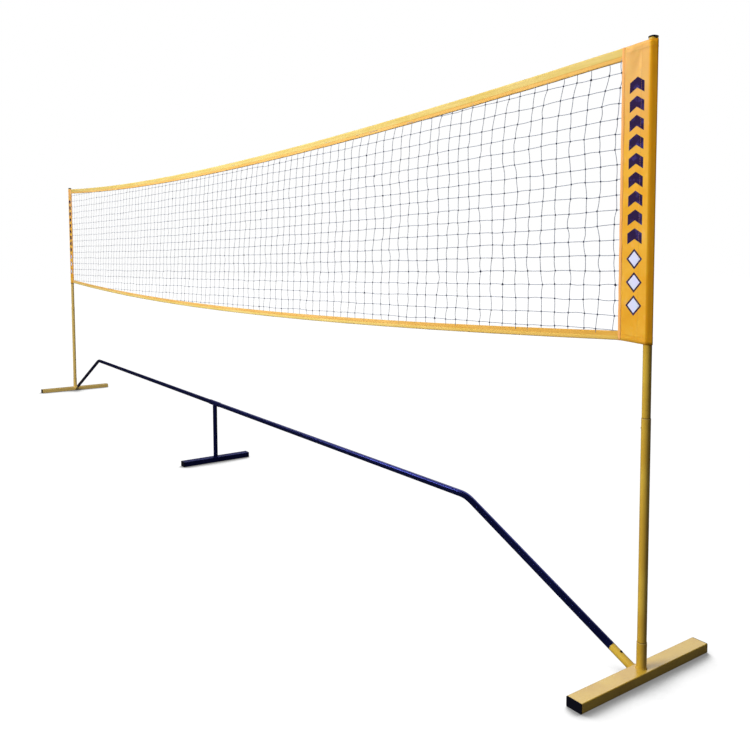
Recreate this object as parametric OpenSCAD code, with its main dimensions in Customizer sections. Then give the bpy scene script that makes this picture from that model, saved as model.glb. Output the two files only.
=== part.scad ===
// Free-standing sports net: two plug-together poles on box-section feet, joined by a
// raised two-piece floor rail with a centre leg, and a knotted net hung between two
// fabric sleeves that slip over the poles. Origin on the floor at mid-span, +X along
// the net, +Z up.

/* [Overall] */
// Distance between the axes of the two poles
span = 5180; // [3000:10:6100]
// Height of the pole caps above the floor
height = 1550; // [1450:10:2200]

/* [End feet] */
// Length of an end foot, caps included
foot_length = 490; // [300:5:800]
// Width of an end foot
foot_width = 45; // [38:1:60]
// Height of an end foot
foot_height = 25; // [24:1:40]
// Wall of the box-section tube
foot_wall = 1.5; // [1:0.1:3]
// Corner radius of the box-section tube
foot_corner = 2.5; // [2:0.1:4]

/* [Poles] */
// Outer diameter of the upper pole tube
upper_pole_d = 21; // [18:1:28]
// Wall of the upper pole tube
upper_pole_wall = 1.2; // [0.8:0.1:1.6]
// Wall of the lower pole tube, which takes the upper pole in its bore
lower_pole_wall = 0.8; // [0.8:0.1:2]
// Height of the lower pole's rim above the floor
pole_joint_z = 645; // [400:5:760]
// Length of upper pole held inside the lower pole
pole_overlap = 80; // [60:5:150]
// Height of the pole socket above its foot
pole_socket_rise = 66; // [40:1:100]
// Wall of the pole socket
pole_socket_wall = 1; // [1:0.1:2.5]

/* [Pole caps] */
// Height of the cap above the pole tube
cap_height = 6; // [4:0.5:12]
// How far the cap's rim stands out past the pole
cap_lip = 1; // [1:0.5:4]
// Length of the plug inside the pole
cap_plug = 15; // [8:1:30]

/* [Floor rail] */
// Outer diameter of the rail tube
rail_d = 21; // [18:1:22]
// Wall of the rail tube
rail_wall = 1.2; // [0.8:0.1:1.6]
// Height of the rail's axis above the floor
rail_z = 296; // [200:5:400]
// Distance of the rail's bend from the pole axis
bend_inset = 646; // [500:2:900]
// Bend radius on the tube's axis
bend_radius = 120; // [60:5:200]
// Length of the angled rail socket welded to a foot
rail_socket_length = 73; // [66:1:110]
// Wall of the rail socket
rail_socket_wall = 1.2; // [1:0.1:1.6]
// Height at which the socket's axis meets the side of the foot
rail_socket_z = 12.5; // [12.5:0.5:16]
// Length of the reduced rail end inside its socket
rail_spigot_length = 60; // [50:1:62]

/* [Centre support] */
// Offset of the centre leg from mid-span
leg_offset = 50; // [-300:10:300]
// Outer diameter of the leg
leg_d = 21; // [12:0.5:21]
// Wall of the leg
leg_wall = 1.5; // [1:0.1:2.5]
// Length of the coupling tube that joins the two rails
coupler_length = 110; // [60:5:200]
// Wall of the coupling tube
coupler_wall = 1.4; // [1:0.1:3]
// Length of the centre foot, caps included
centre_foot_length = 350; // [200:5:600]
// Width of the centre foot
centre_foot_width = 40; // [30:1:60]
// Height of the centre foot
centre_foot_height = 25; // [20:1:40]

/* [Snap buttons] */
// Diameter of a snap button
button_d = 6; // [4:0.5:7]
// How far a button stands out of its outer tube
button_proud = 3; // [2:0.5:4]
// Distance of the pole's button below the lower pole's rim
pole_button_drop = 25; // [15:1:35]
// Distance of the rail's button from the side of the foot, along the socket
rail_button_reach = 46; // [40:1:50]
// Thickness of the spring strip under a button
spring_strip = 0.5; // [0.3:0.1:0.8]

/* [Sleeves and tapes] */
// Distance of a sleeve's inner edge from the pole axis
sleeve_reach = 78; // [60:1:200]
// Height of a sleeve at the pole
sleeve_height = 715; // [500:1:780]
// Distance of a sleeve's top edge below the cap
sleeve_drop = 5; // [0:1:20]
// How far a sleeve's top edge falls towards the net
sleeve_fall = 5; // [0:1:20]
// How far a sleeve's bottom edge rises towards the net
sleeve_rise = 5; // [0:1:20]
// Thickness of the sewn sleeve, two layers
sleeve_thick = 2.4; // [1.6:0.2:5]
// Height of the top tape
top_tape_height = 30; // [20:1:70]
// Height of the bottom tape
bottom_tape_height = 22; // [15:1:60]
// Thickness of a folded tape
tape_thick = 2.4; // [1.6:0.2:5]
// Sag of the top tape at mid-span
top_sag = 68; // [0:1:150]
// Sag of the bottom tape at mid-span
bottom_sag = 60; // [0:1:150]

/* [Net] */
// Meshes along the net
net_columns = 30; // [10:1:30]
// Meshes down the net
net_rows = 10; // [4:1:10]
// Thickness of the net's cords
cord_d = 2; // [1.5:0.1:4]

/* [Hidden] */
$fn = 32;

mustard = "#c49b34";
navy = "#12163f";
black = "#18181b";
amber = "#e8a53c";
straw = "#efc95f";
steel = "#9a9da3";
cord_grey = "#5b6270";

fit = 0.05;             // radial clearance of a tube in a tube
cloth_gap = 0.3;        // clearance of a pocket on its pole
cut = 1;                // overshoot of a cutting solid

// Poles and their sockets, each tube built outwards from the one inside it
pole_x = span / 2;
upper_pole_r = upper_pole_d / 2;
upper_bore_r = upper_pole_r - upper_pole_wall;
lower_bore_r = upper_pole_r + fit;
lower_pole_r = lower_bore_r + lower_pole_wall;
pole_socket_bore_r = lower_pole_r + fit;
pole_socket_r = pole_socket_bore_r + pole_socket_wall;
pole_top_z = height - cap_height;
pole_button_z = pole_joint_z - pole_button_drop;

// Rail, coupling and angled sockets
rail_r = rail_d / 2;
rail_bore_r = rail_r - rail_wall;
spigot_r = rail_r - rail_socket_wall - fit;
spigot_bore_r = spigot_r - rail_wall;
spigot_neck = 6;        // thick end of the rail behind its reduced spigot
foot_side_x = pole_x - foot_width / 2;
bend_x = pole_x - bend_inset;
rail_slope = atan2(rail_z - rail_socket_z, foot_side_x - bend_x);
bend_tangent = bend_radius * tan(rail_slope / 2);
slope_length = norm([foot_side_x - bend_x, rail_z - rail_socket_z]);
bend_swell = 0.05;      // how much the tube thickens through its bend
bend_lap = 1;           // length of straight tube inside the bend
rail_end_gap = 2;       // space between the two rails inside the coupling
coupler_bore_r = rail_r + fit;
coupler_r = coupler_bore_r + coupler_wall;

// Snap buttons
button_r = button_d / 2;
button_hole_r = button_r + fit;
button_flange_r = button_r + 1;
button_flange = 1.2;    // thickness of the flange that stops in the tube
button_dome = 1.5;      // height of the rounded tip
dome_steps = 4;         // facets from the edge of a dome to its top
button_play = 0.2;      // space between the flange and the tube wall
spring_width = 6;
spring_leg = 9;         // flat stretch on each side of the button
spring_depth = 36;      // distance from the button to the spring's fold
spring_fold_r = 1.5;

// End caps of the box-section feet
plug_gap = 0.1;
plug_depth = 12;
plug_flange = 2;

// Sleeves, tapes and net
pocket_bore_r = upper_pole_r + cloth_gap;
pocket_r = pocket_bore_r + sleeve_thick / 2;
net_half = pole_x - sleeve_reach;
sleeve_top_z = pole_top_z - sleeve_drop;
sleeve_bottom_z = sleeve_top_z - sleeve_height;
tape_top_z = sleeve_top_z - sleeve_fall;
tape_bottom_z = sleeve_bottom_z + sleeve_rise;
net_y = sleeve_thick / 2 - pocket_r;    // the net hangs level with the poles' front

function net_x(i) = net_half * (2 * i / net_columns - 1);
// A hanging edge is a parabola, lowest at mid-span
function sag(x, depth) = depth * (1 - pow(x / net_half, 2));
function top_edge(x) = tape_top_z - sag(x, top_sag);
function net_top(x) = top_edge(x) - top_tape_height;
function bottom_edge(x) = tape_bottom_z - sag(x, bottom_sag);
function net_bottom(x) = bottom_edge(x) + bottom_tape_height;
function row_z(x, j) = net_bottom(x) + (net_top(x) - net_bottom(x)) * j / net_rows;

// Rectangle with round corners, centred
module round_rect(w, h, r) {
    square([w - 2 * r, h], center = true);
    square([w, h - 2 * r], center = true);
    for (x = [-1, 1], y = [-1, 1])
        translate([x * (w / 2 - r), y * (h / 2 - r)]) circle(r);
}

// Upright tube
module tube(r, bore_r, h) {
    difference() {
        cylinder(r = r, h = h);
        translate([0, 0, -cut]) cylinder(r = bore_r, h = h + 2 * cut);
    }
}

// Shape drawn in X and Z, with its thickness centred on Y
module upright(thick) {
    rotate([90, 0, 0]) linear_extrude(height = thick, center = true) children();
}

module at_left() { mirror([1, 0, 0]) children(); }

module at_net() { translate([0, net_y, 0]) children(); }

// Box-section foot along Y, open at both ends, shorter than its full length by its caps
module box_foot(length, w, h) {
    translate([0, 0, h / 2]) upright(length - 2 * plug_flange)
        difference() {
            round_rect(w, h, foot_corner);
            square([w - 2 * foot_wall, h - 2 * foot_wall], center = true);
        }
}

// Push-in caps at both ends of a box-section foot
module box_caps(length, w, h) {
    for (end = [-1, 1])
        translate([0, end * (length / 2 - plug_flange / 2), h / 2]) {
            upright(plug_flange) round_rect(w, h, foot_corner);
            translate([0, -end * (plug_depth + plug_flange) / 2, 0])
                upright(plug_depth)
                    square([w - 2 * (foot_wall + plug_gap), h - 2 * (foot_wall + plug_gap)], center = true);
        }
}

// Place things at a rail socket: origin where its axis meets the foot, +Z along the
// socket, +X square to it and upwards
module at_rail_socket() {
    translate([foot_side_x, 0, rail_socket_z]) rotate([0, rail_slope - 90, 0]) children();
}

// Place things at the pole's button: +X towards the net, +Z up
module at_pole_button() {
    translate([pole_x, 0, pole_button_z]) rotate([0, 0, 180]) children();
}

// Height over the tube's axis at which a flat of half-width b meets the bore
function bore_seat(bore_r, b) = sqrt(bore_r * bore_r - b * b);

// Outline of a low dome, from its edge at height z up to its top on the axis
function dome(r, h, z) =
    let (ball = (r * r + h * h) / (2 * h), half = asin(r / ball))
        [
            for (i = [0 : dome_steps])
                let (a = half * (1 - i / dome_steps)) [ball * sin(a), z + h - ball * (1 - cos(a))]
        ];

// Button that stands out along +X through a tube of radius r around a bore
module snap_button(bore_r, r) {
    base = bore_seat(bore_r, button_flange_r) - button_play - button_flange;
    rotate([0, 90, 0]) rotate_extrude() polygon(concat(
        [[0, base], [button_flange_r, base], [button_flange_r, base + button_flange]],
        [[button_r, base + button_flange]],
        dome(button_r, button_dome, r + button_proud - button_dome)
    ));
}

module button_hole(r) {
    rotate([0, 90, 0]) cylinder(r = button_hole_r, h = r + cut);
}

// Direction square to the line from a to b
function side_of(a, b) = [a[1] - b[1], b[0] - a[0]] / norm(b - a);

// Strip of even thickness along a list of points, mitred at each
module strip(points, thick) {
    last = len(points) - 1;
    sides = [for (i = [0 : last - 1]) side_of(points[i], points[i + 1])];
    edge = [
        for (i = [0 : last])
            let (before = sides[max(i - 1, 0)], after = sides[min(i, last - 1)])
                (before + after) / (1 + before * after) * thick / 2
    ];
    polygon(concat(
        [for (i = [0 : last]) points[i] + edge[i]],
        [for (i = [last : -1 : 0]) points[i] - edge[i]]
    ));
}

// Folded spring in a bore: one leg under the button's flange, one against the far wall
module snap_spring(bore_r) {
    near = bore_seat(bore_r, button_flange_r) - button_play - button_flange - spring_strip / 2;
    far = -bore_seat(bore_r, spring_width / 2) + spring_strip / 2;
    upright(spring_width)
        strip(concat(
            [[near, spring_leg / 2], [near, -spring_leg / 2]],
            [for (a = [0 : 30 : 180]) [spring_fold_r * cos(a), -spring_depth - spring_fold_r * sin(a)]],
            [[far, -spring_leg / 2], [far, spring_leg]]
        ), spring_strip);
}

module end_foot() {
    color(mustard) translate([pole_x, 0, 0]) box_foot(foot_length, foot_width, foot_height);
}

module end_foot_caps() {
    color(black) translate([pole_x, 0, 0]) box_caps(foot_length, foot_width, foot_height);
}

module pole_socket() {
    color(mustard) translate([pole_x, 0, foot_height])
        tube(pole_socket_r, pole_socket_bore_r, pole_socket_rise);
}

module rail_socket() {
    color(mustard) difference() {
        at_rail_socket() translate([0, 0, -rail_d]) cylinder(r = rail_r, h = rail_d + rail_socket_length);
        at_rail_socket() translate([0, 0, -2 * rail_d])
            cylinder(r = rail_r - rail_socket_wall, h = 2 * rail_d + rail_socket_length + cut);
        translate([foot_side_x, -rail_d, -2 * rail_d]) cube([4 * rail_d, 2 * rail_d, 6 * rail_d]);
        at_rail_socket() translate([0, 0, rail_button_reach]) button_hole(rail_r);
    }
}

module lower_pole() {
    color(mustard) difference() {
        translate([pole_x, 0, foot_height]) tube(lower_pole_r, lower_bore_r, pole_joint_z - foot_height);
        at_pole_button() button_hole(lower_pole_r);
    }
}

module upper_pole() {
    bottom_z = pole_joint_z - pole_overlap;
    color(mustard) difference() {
        translate([pole_x, 0, bottom_z]) tube(upper_pole_r, upper_bore_r, pole_top_z - bottom_z);
        at_pole_button() button_hole(upper_pole_r);
    }
}

// Push-in cap with a low dome and a rim that keeps the sleeve on the pole
module pole_cap() {
    plug_r = upper_bore_r - plug_gap;
    rim_r = upper_pole_r + cap_lip;
    rim = cap_height / 2;
    color(black) translate([pole_x, 0, pole_top_z]) rotate_extrude() polygon(concat(
        [[0, -cap_plug], [plug_r, -cap_plug], [plug_r, 0], [rim_r, 0]],
        dome(rim_r, cap_height - rim, rim)
    ));
}

module pole_button() { color(black) at_pole_button() snap_button(upper_bore_r, lower_pole_r); }

module pole_spring() { color(steel) at_pole_button() snap_spring(upper_bore_r); }

module rail_button() {
    color(black) at_rail_socket() translate([0, 0, rail_button_reach]) snap_button(spigot_bore_r, rail_r);
}

module rail_spring() {
    color(steel) at_rail_socket() translate([0, 0, rail_button_reach]) snap_spring(spigot_bore_r);
}

// Rail of radius r from its inner end, round its bend and down to its socket's mouth.
// The straight stretches reach a little way into the bend, which is drawn wider.
module rail_rod(r, inner_x, end_trim) {
    arc_x = bend_x - bend_tangent;
    slope_rod = slope_length - bend_tangent - rail_socket_length - end_trim;
    translate([inner_x, 0, rail_z]) rotate([0, 90, 0]) cylinder(r = r, h = arc_x - inner_x + bend_lap);
    translate([arc_x, 0, rail_z - bend_radius]) rotate([90, 0, 0]) rotate([0, 0, 90 - rail_slope])
        rotate_extrude(angle = rail_slope) translate([bend_radius, 0]) circle(r + bend_swell);
    at_rail_socket() translate([0, 0, rail_socket_length + end_trim])
        cylinder(r = r, h = slope_rod + bend_lap);
}

module rail(leg_x) {
    inner_x = leg_x + rail_end_gap / 2;
    color(navy) difference() {
        union() {
            rail_rod(rail_r, inner_x, 0);
            at_rail_socket() translate([0, 0, rail_socket_length - rail_spigot_length])
                cylinder(r = spigot_r, h = rail_spigot_length + spigot_neck / 2);
        }
        rail_rod(rail_bore_r, inner_x, spigot_neck);
        translate([inner_x - cut, 0, rail_z]) rotate([0, 90, 0]) cylinder(r = rail_bore_r, h = 2 * cut);
        at_rail_socket() translate([0, 0, rail_socket_length - rail_spigot_length - cut])
            cylinder(r = spigot_bore_r, h = rail_spigot_length + spigot_neck + 2 * cut);
        at_rail_socket() translate([0, 0, rail_button_reach]) button_hole(rail_r);
    }
}

module rail_coupler() {
    color(navy) translate([leg_offset - coupler_length / 2, 0, rail_z]) rotate([0, 90, 0])
        tube(coupler_r, coupler_bore_r, coupler_length);
}

// Leg with its top coped to the underside of the coupling
module centre_leg() {
    color(navy) difference() {
        translate([leg_offset, 0, centre_foot_height])
            tube(leg_d / 2, leg_d / 2 - leg_wall, rail_z - centre_foot_height);
        translate([leg_offset - leg_d, 0, rail_z]) rotate([0, 90, 0])
            cylinder(r = coupler_r, h = 2 * leg_d);
    }
}

module centre_foot() {
    color(navy) translate([leg_offset, 0, 0])
        box_foot(centre_foot_length, centre_foot_width, centre_foot_height);
}

module centre_foot_caps() {
    color(black) translate([leg_offset, 0, 0])
        box_caps(centre_foot_length, centre_foot_width, centre_foot_height);
}

// Fabric sleeve: a flat band that lies over the pole's front and a back layer that runs
// round the pole into it
module sleeve() {
    front = -pocket_r;
    back = front + sleeve_thick;
    flare = 2 * pocket_r;                       // distance of the seam from the pole axis
    turn = acos(pocket_r / norm([flare, back])) + atan2(back, flare);
    outline = [
        [net_half, tape_bottom_z],
        [pole_x, sleeve_bottom_z],
        [pole_x + 2 * pocket_r, sleeve_bottom_z],
        [pole_x + 2 * pocket_r, sleeve_top_z],
        [pole_x, sleeve_top_z],
        [net_half, tape_top_z]
    ];
    color(amber) intersection() {
        translate([pole_x, 0, sleeve_bottom_z]) linear_extrude(height = sleeve_height) difference() {
            union() {
                circle(pocket_r);
                polygon([
                    [-sleeve_reach, front], [0, front], [0, 0],
                    pocket_r * [-cos(turn), sin(turn)], [-flare, back], [-sleeve_reach, back]
                ]);
            }
            circle(pocket_bore_r);
        }
        upright(4 * pocket_r) polygon(outline);
    }
}

module top_tape() {
    color(straw) at_net() upright(tape_thick) polygon(concat(
        [for (i = [0 : net_columns]) [net_x(i), net_top(net_x(i))]],
        [for (i = [net_columns : -1 : 0]) [net_x(i), top_edge(net_x(i))]]
    ));
}

module bottom_tape() {
    color(straw) at_net() upright(tape_thick) polygon(concat(
        [for (i = [0 : net_columns]) [net_x(i), bottom_edge(net_x(i))]],
        [for (i = [net_columns : -1 : 0]) [net_x(i), net_bottom(net_x(i))]]
    ));
}

// Flat net: the field between the tapes with its meshes cut out
module net() {
    c = cord_d / 2;
    color(cord_grey) at_net() upright(cord_d) difference() {
        polygon(concat(
            [for (i = [0 : net_columns]) [net_x(i), net_bottom(net_x(i))]],
            [for (i = [net_columns : -1 : 0]) [net_x(i), net_top(net_x(i))]]
        ));
        for (i = [0 : net_columns - 1], j = [0 : net_rows - 1]) {
            a = net_x(i);
            b = net_x(i + 1);
            polygon([
                [a + c, row_z(a, j) + c], [b - c, row_z(b, j) + c],
                [b - c, row_z(b, j + 1) - c], [a + c, row_z(a, j + 1) - c]
            ]);
        }
    }
}

at_left() end_foot();  // end_foot_left
end_foot();  // end_foot_right
at_left() end_foot_caps();  // end_foot_caps_left
end_foot_caps();  // end_foot_caps_right
at_left() pole_socket();  // pole_socket_left
pole_socket();  // pole_socket_right
at_left() rail_socket();  // rail_socket_left
rail_socket();  // rail_socket_right
at_left() lower_pole();  // lower_pole_left
lower_pole();  // lower_pole_right
at_left() upper_pole();  // upper_pole_left
upper_pole();  // upper_pole_right
at_left() pole_cap();  // pole_cap_left
pole_cap();  // pole_cap_right
at_left() pole_button();  // pole_button_left
pole_button();  // pole_button_right
at_left() pole_spring();  // pole_spring_left
pole_spring();  // pole_spring_right
at_left() rail(-leg_offset);  // rail_left
rail(leg_offset);  // rail_right
at_left() rail_button();  // rail_button_left
rail_button();  // rail_button_right
at_left() rail_spring();  // rail_spring_left
rail_spring();  // rail_spring_right
rail_coupler();
centre_leg();
centre_foot();
centre_foot_caps();
at_left() sleeve();  // sleeve_left
sleeve();  // sleeve_right
top_tape();
bottom_tape();
net();
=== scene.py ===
import math
import bpy
import numpy as np
from mathutils import Matrix, Vector


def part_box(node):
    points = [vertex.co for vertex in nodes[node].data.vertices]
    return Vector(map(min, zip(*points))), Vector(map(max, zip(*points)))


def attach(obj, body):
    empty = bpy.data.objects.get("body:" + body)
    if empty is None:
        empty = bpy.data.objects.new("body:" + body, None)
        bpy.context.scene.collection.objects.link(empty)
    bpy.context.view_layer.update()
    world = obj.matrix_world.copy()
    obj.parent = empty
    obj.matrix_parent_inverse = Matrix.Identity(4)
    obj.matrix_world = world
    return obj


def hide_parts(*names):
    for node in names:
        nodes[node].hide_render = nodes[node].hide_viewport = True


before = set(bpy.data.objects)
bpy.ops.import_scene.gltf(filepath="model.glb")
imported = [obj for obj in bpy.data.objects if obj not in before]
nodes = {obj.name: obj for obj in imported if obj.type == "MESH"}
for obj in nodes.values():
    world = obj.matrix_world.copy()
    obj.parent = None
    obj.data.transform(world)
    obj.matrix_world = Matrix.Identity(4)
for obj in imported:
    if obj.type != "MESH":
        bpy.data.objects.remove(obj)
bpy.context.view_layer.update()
mm = 0.001
rng = np.random.default_rng(11)
print("frame loaded:", len(nodes), "solids")

camera = {
    "place": (3.777, -1.628, 1.042),
    "heading": 54.97,  # degrees to the left of +Y
    "tilt": 3.75,  # degrees below the horizon
    "roll": -0.17,
    "sensor": 36,  # mm wide
    "focal": 38.46,
    "drop": -0.0914,  # shift that keeps the poles upright in the frame
}


def makeCamera(c):
    # Turned to the heading, lowered by the tilt and rolled about its own axis
    data = bpy.data.cameras.new("camera")
    data.sensor_width, data.lens = c["sensor"], c["focal"]
    data.shift_y = c["drop"]
    data.clip_start, data.clip_end = 0.05, 100
    head, tilt, roll = (math.radians(c[k]) for k in ("heading", "tilt", "roll"))
    forward = np.array([-math.sin(head) * math.cos(tilt),
                        math.cos(head) * math.cos(tilt), -math.sin(tilt)])
    right = np.array([math.cos(head), math.sin(head), 0.0])
    above = np.cross(right, forward)
    across = math.cos(roll) * right + math.sin(roll) * above
    upward = math.cos(roll) * above - math.sin(roll) * right
    turn = np.eye(4)
    turn[:3] = np.stack([across, upward, -forward, c["place"]], -1)
    item = bpy.data.objects.new("camera", data)
    item.matrix_world = Matrix(turn)
    bpy.context.scene.collection.objects.link(item)
    bpy.context.scene.camera = item


class Wire:
    # A shader socket that takes part in Python sums
    def __init__(self, finish, socket):
        self.finish, self.socket = finish, socket

    def does(operation, turned=False):
        return lambda self, other: self.finish.math(
            operation, *((other, self) if turned else (self, other)))

    __add__ = __radd__ = does("ADD")
    __mul__ = __rmul__ = does("MULTIPLY")
    __sub__, __rsub__ = does("SUBTRACT"), does("SUBTRACT", turned=True)
    __truediv__ = does("DIVIDE")
    __lt__, __gt__ = does("LESS_THAN"), does("GREATER_THAN")


class Finish:
    # One material, or the world, and its nodes
    def __init__(self, name, owner=None):
        self.owner = owner or bpy.data.materials.new(name)
        self.owner.use_nodes = True
        self.tree = self.owner.node_tree
        self.tree.nodes.clear()

    def add(self, kind, settings=None, sockets=None, out=0):
        node = self.tree.nodes.new("ShaderNode" + kind)
        for key, value in (settings or {}).items():
            setattr(node, key, value)
        for key, value in (sockets or {}).items():
            if isinstance(value, Wire):
                self.tree.links.new(value.socket, node.inputs[key])
            else:
                node.inputs[key].default_value = value
        return Wire(self, node.outputs[out]) if len(node.outputs) else None

    def math(self, operation, *values):
        return self.add("Math", {"operation": operation}, dict(enumerate(values)))

    def place(self):
        return self.add("TexCoord", out="Object")

    def along(self):
        return self.add("UVMap", {"uv_map": "cloth"})

    def axes(self, vector):
        found = self.add("SeparateXYZ", sockets={0: vector})
        return [Wire(self, found.socket.node.outputs[k]) for k in range(3)]

    def noise(self, vector, scale, detail=3.0, rough=0.5):
        values = {"Vector": vector, "Scale": scale, "Detail": detail, "Roughness": rough}
        return self.add("TexNoise", sockets=values)

    def stretch(self, vector, sizes):
        return self.add("Mapping", sockets={"Vector": vector, "Scale": sizes})

    def mix(self, share, first, second):
        # Each colour is a wire or a code that tone reads
        first, second = (c if isinstance(c, Wire) else tone(c) for c in (first, second))
        return self.add("Mix", {"data_type": "RGBA"}, {0: share, 6: first, 7: second}, out=2)

    def clamp(self, value, low, high):
        # 0 below low, 1 above high and smooth between them, or the other way where low is higher
        settings = {"interpolation_type": "SMOOTHSTEP"}
        return self.add("MapRange", settings, {0: value, 1: low, 2: high})

    def wave(self, distance, pitch):
        # A sine that comes round once in each pitch
        return self.math("SINE", distance * (2 * math.pi / pitch))

    def bump(self, height, strength, depth, base=None):
        sockets = {"Height": height, "Strength": strength, "Distance": depth}
        if base:
            sockets["Normal"] = base
        return self.add("Bump", sockets=sockets)

    def surface(self, sockets):
        shader = self.add("BsdfPrincipled", sockets=sockets)
        self.add("OutputMaterial", sockets={"Surface": shader})
        return self.owner


def tone(code):
    # A colour written as red, green and blue from 0 to 255, made linear
    share = [c / 255 for c in code]
    linear = (c / 12.92 if c < 0.04045 else ((c + 0.055) / 1.055) ** 2.4 for c in share)
    return (*linear, 1.0)


white = (1, 1, 1, 1)
studio = {
    "bright": (-0.6, 0.35, 0.7),  # side from which the surround is white
    "low": 0.06, "high": 0.45,  # even light from the dark and the white side
    "turn": (-0.35, 0.75),  # cosines to it, from low to high
    "backdrop": (-0.62, 0.62, 0.48),  # where gloss sees the white backdrop
    "ring": (0.76, 0.97),  # cosines to it over which it comes up
    "raised": (0.26, 0.46),  # and sines of the height
    "gloss": 1.3,  # how bright it looks there
    "gloom": 0.012,  # and elsewhere
    "floorSize": 60,
    "floorGrey": 0.15,  # the floor as even light sees it
    "floorGloss": 0.03,  # and as gloss does
    "shadow": 0.1,  # share of the floor's white that is lamplight
    "outskirts": (2.6, 4.6),  # m from the middle over which it dies away
    "contact": 0.11,  # m round a foot that its contact shadow reaches
    "open": (0.5, 0.93),  # shares of open sky over which that shadow ends
    "dark": 0.24, "gain": 0.88,  # white in that shadow, and what open sky adds
    "cap": 1.05,  # the most that it reaches
}
lamps = {  # only one with glints shows in gloss
    "key": {"at": (0.7, -5.0, 4.2), "aim": (0.3, 0, 0.8), "size": 3.4, "power": 480,
            "glints": False},
    "fill": {"at": (-2.5, 5.0, 3.0), "aim": (0, 0, 0.9), "size": 2.5, "power": 120,
             "glints": False},
    "strip": {"at": (-2.0, -1.6, 3.0), "aim": (1.2, 0, 0.5), "size": 1.3, "power": 20,
              "glints": True},
}


def makeLamp(name, lamp):
    # A disc at its place that faces what it is aimed at
    data = bpy.data.lights.new(name, "AREA")
    data.shape, data.size, data.energy = "DISK", lamp["size"], lamp["power"]
    item = bpy.data.objects.new(name, data)
    item.visible_glossy = lamp["glints"]
    item.location = lamp["at"]
    back = Vector(lamp["at"]) - Vector(lamp["aim"])
    item.rotation_euler = back.to_track_quat("Z", "Y").to_euler()
    bpy.context.scene.collection.objects.link(item)


def makeWorld(s):
    # The eye sees white. Even light grows with the cosine to the bright side, and gloss sees
    # gloom with the backdrop's bright patch in it.
    bpy.context.scene.view_settings.view_transform = "Standard"
    world = bpy.data.worlds.new("studio")
    bpy.context.scene.world = world
    sky = Finish("studio", world)
    eye = sky.add("LightPath", out="Is Camera Ray")
    glossy = sky.add("LightPath", out="Is Glossy Ray")
    ahead = sky.add("TexCoord")
    facing, behind = (
        sky.add("VectorMath", {"operation": "DOT_PRODUCT"}, {0: ahead, 1: s[side]}, out="Value")
        for side in ("bright", "backdrop"))
    raised = sky.clamp(sky.axes(ahead)[2], *s["raised"])
    even = s["low"] + sky.clamp(facing, *s["turn"]) * (s["high"] - s["low"])
    patch = sky.clamp(behind, *s["ring"]) * raised * s["gloss"]
    light = even + glossy * (s["gloom"] + patch - even)
    strength = sky.math("MAXIMUM", eye, light)
    glow = sky.add("Background", sockets={"Color": white, "Strength": strength})
    sky.add("OutputWorld", sockets={"Surface": glow})


def makeFloor(s):
    # A glow that darkens where a foot closes off the bright side, with a share of lamplight that
    # keeps the shadows. Even light sees a grey, and gloss a dim glow.
    half = s["floorSize"] / 2
    mesh = bpy.data.meshes.new("floor")
    corners = [(-half, -half, 0), (half, -half, 0), (half, half, 0), (-half, half, 0)]
    mesh.from_pydata(corners, [], [(0, 1, 2, 3)])
    floor = bpy.data.objects.new("floor", mesh)
    bpy.context.scene.collection.objects.link(floor)
    paint = Finish("floorWhite")
    eye = paint.add("LightPath", out="Is Camera Ray")
    glossy = paint.add("LightPath", out="Is Glossy Ray")
    far = paint.add("VectorMath", {"operation": "LENGTH"}, {0: paint.place()}, out="Value")
    share = s["shadow"] * (1 - paint.clamp(far, *s["outskirts"]))
    matt = paint.add("BsdfDiffuse", sockets={"Color": white})
    dim = paint.add("BsdfDiffuse", sockets={"Color": (s["floorGrey"],) * 3 + (1,)})
    toLight = paint.add("CombineXYZ", sockets=dict(enumerate(s["bright"])))
    sockets = {"Distance": s["contact"], "Normal": toLight}
    near = paint.add("AmbientOcclusion", {"samples": 16}, sockets, out="AO")
    lit = paint.math("MINIMUM", paint.clamp(near, *s["open"]) * s["gain"] + s["dark"], s["cap"])
    glow = paint.add("Emission", sockets={"Color": white, "Strength": lit})
    pale = paint.add("Emission", sockets={"Color": white, "Strength": s["floorGloss"]})
    shown = paint.add("MixShader", sockets={0: share, 1: glow, 2: matt})
    unseen = paint.add("MixShader", sockets={0: glossy, 1: dim, 2: pale})
    both = paint.add("MixShader", sockets={0: eye, 1: unseen, 2: shown})
    paint.add("OutputMaterial", sockets={"Surface": both})
    mesh.materials.append(paint.owner)


makeCamera(camera)
makeWorld(studio)
for lampName, lamp in lamps.items():
    makeLamp(lampName, lamp)
makeFloor(studio)
print("camera, lamps and floor")


def gridFaces(rows, columns, wrapRows=False, wrapColumns=False):
    # Quads between neighbours of a rows x columns grid of points
    i = np.arange(rows if wrapRows else rows - 1)
    j = np.arange(columns if wrapColumns else columns - 1)
    a, b = np.meshgrid(i, j, indexing="ij")
    c, d = (a + 1) % rows, (b + 1) % columns
    corners = [a * columns + b, a * columns + d, c * columns + d, c * columns + b]
    return np.stack(corners, -1).reshape(-1, 4)


def volumeOf(points, faces):
    # Six times the volume: the sum over the tetrahedra from the origin to each face, which is
    # fanned from its first corner
    total = 0.0
    for f in faces:
        for k in range(1, f.shape[1] - 1):
            a, b, c = points[f[:, 0]], points[f[:, k]], points[f[:, k + 1]]
            total += np.einsum("ij,ij->", a, np.cross(b, c))
    return total


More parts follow.
